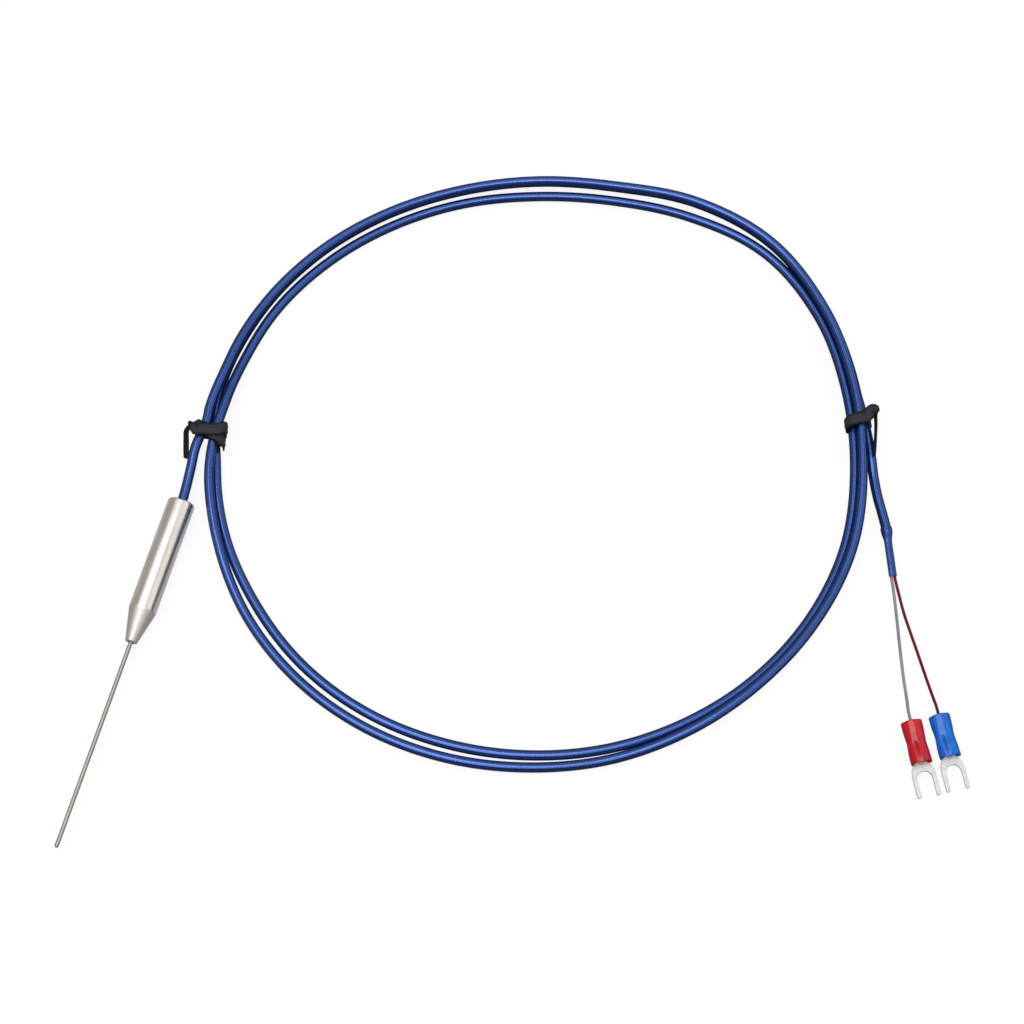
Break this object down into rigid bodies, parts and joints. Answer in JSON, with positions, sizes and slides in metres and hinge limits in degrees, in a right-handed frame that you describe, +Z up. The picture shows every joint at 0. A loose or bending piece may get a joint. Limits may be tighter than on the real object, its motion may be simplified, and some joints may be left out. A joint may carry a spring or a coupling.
{
  "type": "thermocouple probe",
  "caption": "Thin needle temperature sensor with a turned metal sleeve, a coiled cable held by twist ties and fork terminals on its leads.",
  "frame": {"origin": "on the surface under the middle of the rigid probe, half way between the needle's tip and the sleeve's rear end", "axes": "+Y along the probe from the needle's tip to the sleeve's rear, +Z up from the surface it lies on, +X towards the coil"},
  "size_m": [0.199, 0.1984, 0.0076],
  "materials": {
    "needle_steel": "drawn, satin",
    "sleeve_steel": "fine turned, bright",
    "mineral": "packed powder, matt",
    "thermoelement_alloy": "drawn wire",
    "tinned_copper": "tin plated, satin",
    "white_insulation": "satin",
    "red_insulation": "satin",
    "resin": "cast",
    "blue_jacket": "glossy, over a fine braid",
    "shrink_sleeve": "satin shrink tube",
    "black_tie": "ribbed, satin",
    "red_vinyl": "glossy",
    "blue_vinyl": "glossy"
  },
  "bodies": {
    "root": {"probe_sheath": "needle_steel", "transition_sleeve": "sleeve_steel", "mineral_insulation": "mineral", "thermoelement_positive": "thermoelement_alloy", "thermoelement_negative": "thermoelement_alloy", "measuring_junction": "thermoelement_alloy", "splice_positive": "tinned_copper", "splice_negative": "tinned_copper", "core_positive": "white_insulation", "core_negative": "red_insulation", "potting_compound": "resin", "cable_lead_in": "blue_jacket", "cable_coil": "blue_jacket", "cable_lead_out": "blue_jacket", "tie_left": "black_tie", "tie_right": "black_tie", "breakout_sleeve": "shrink_sleeve", "lead_white": "white_insulation", "lead_red": "red_insulation", "conductor_white": "tinned_copper", "conductor_red": "tinned_copper", "insulator_red": "red_vinyl", "insulator_blue": "blue_vinyl", "fork_red": "tinned_copper", "fork_blue": "tinned_copper"}
  },
  "joints": []
}
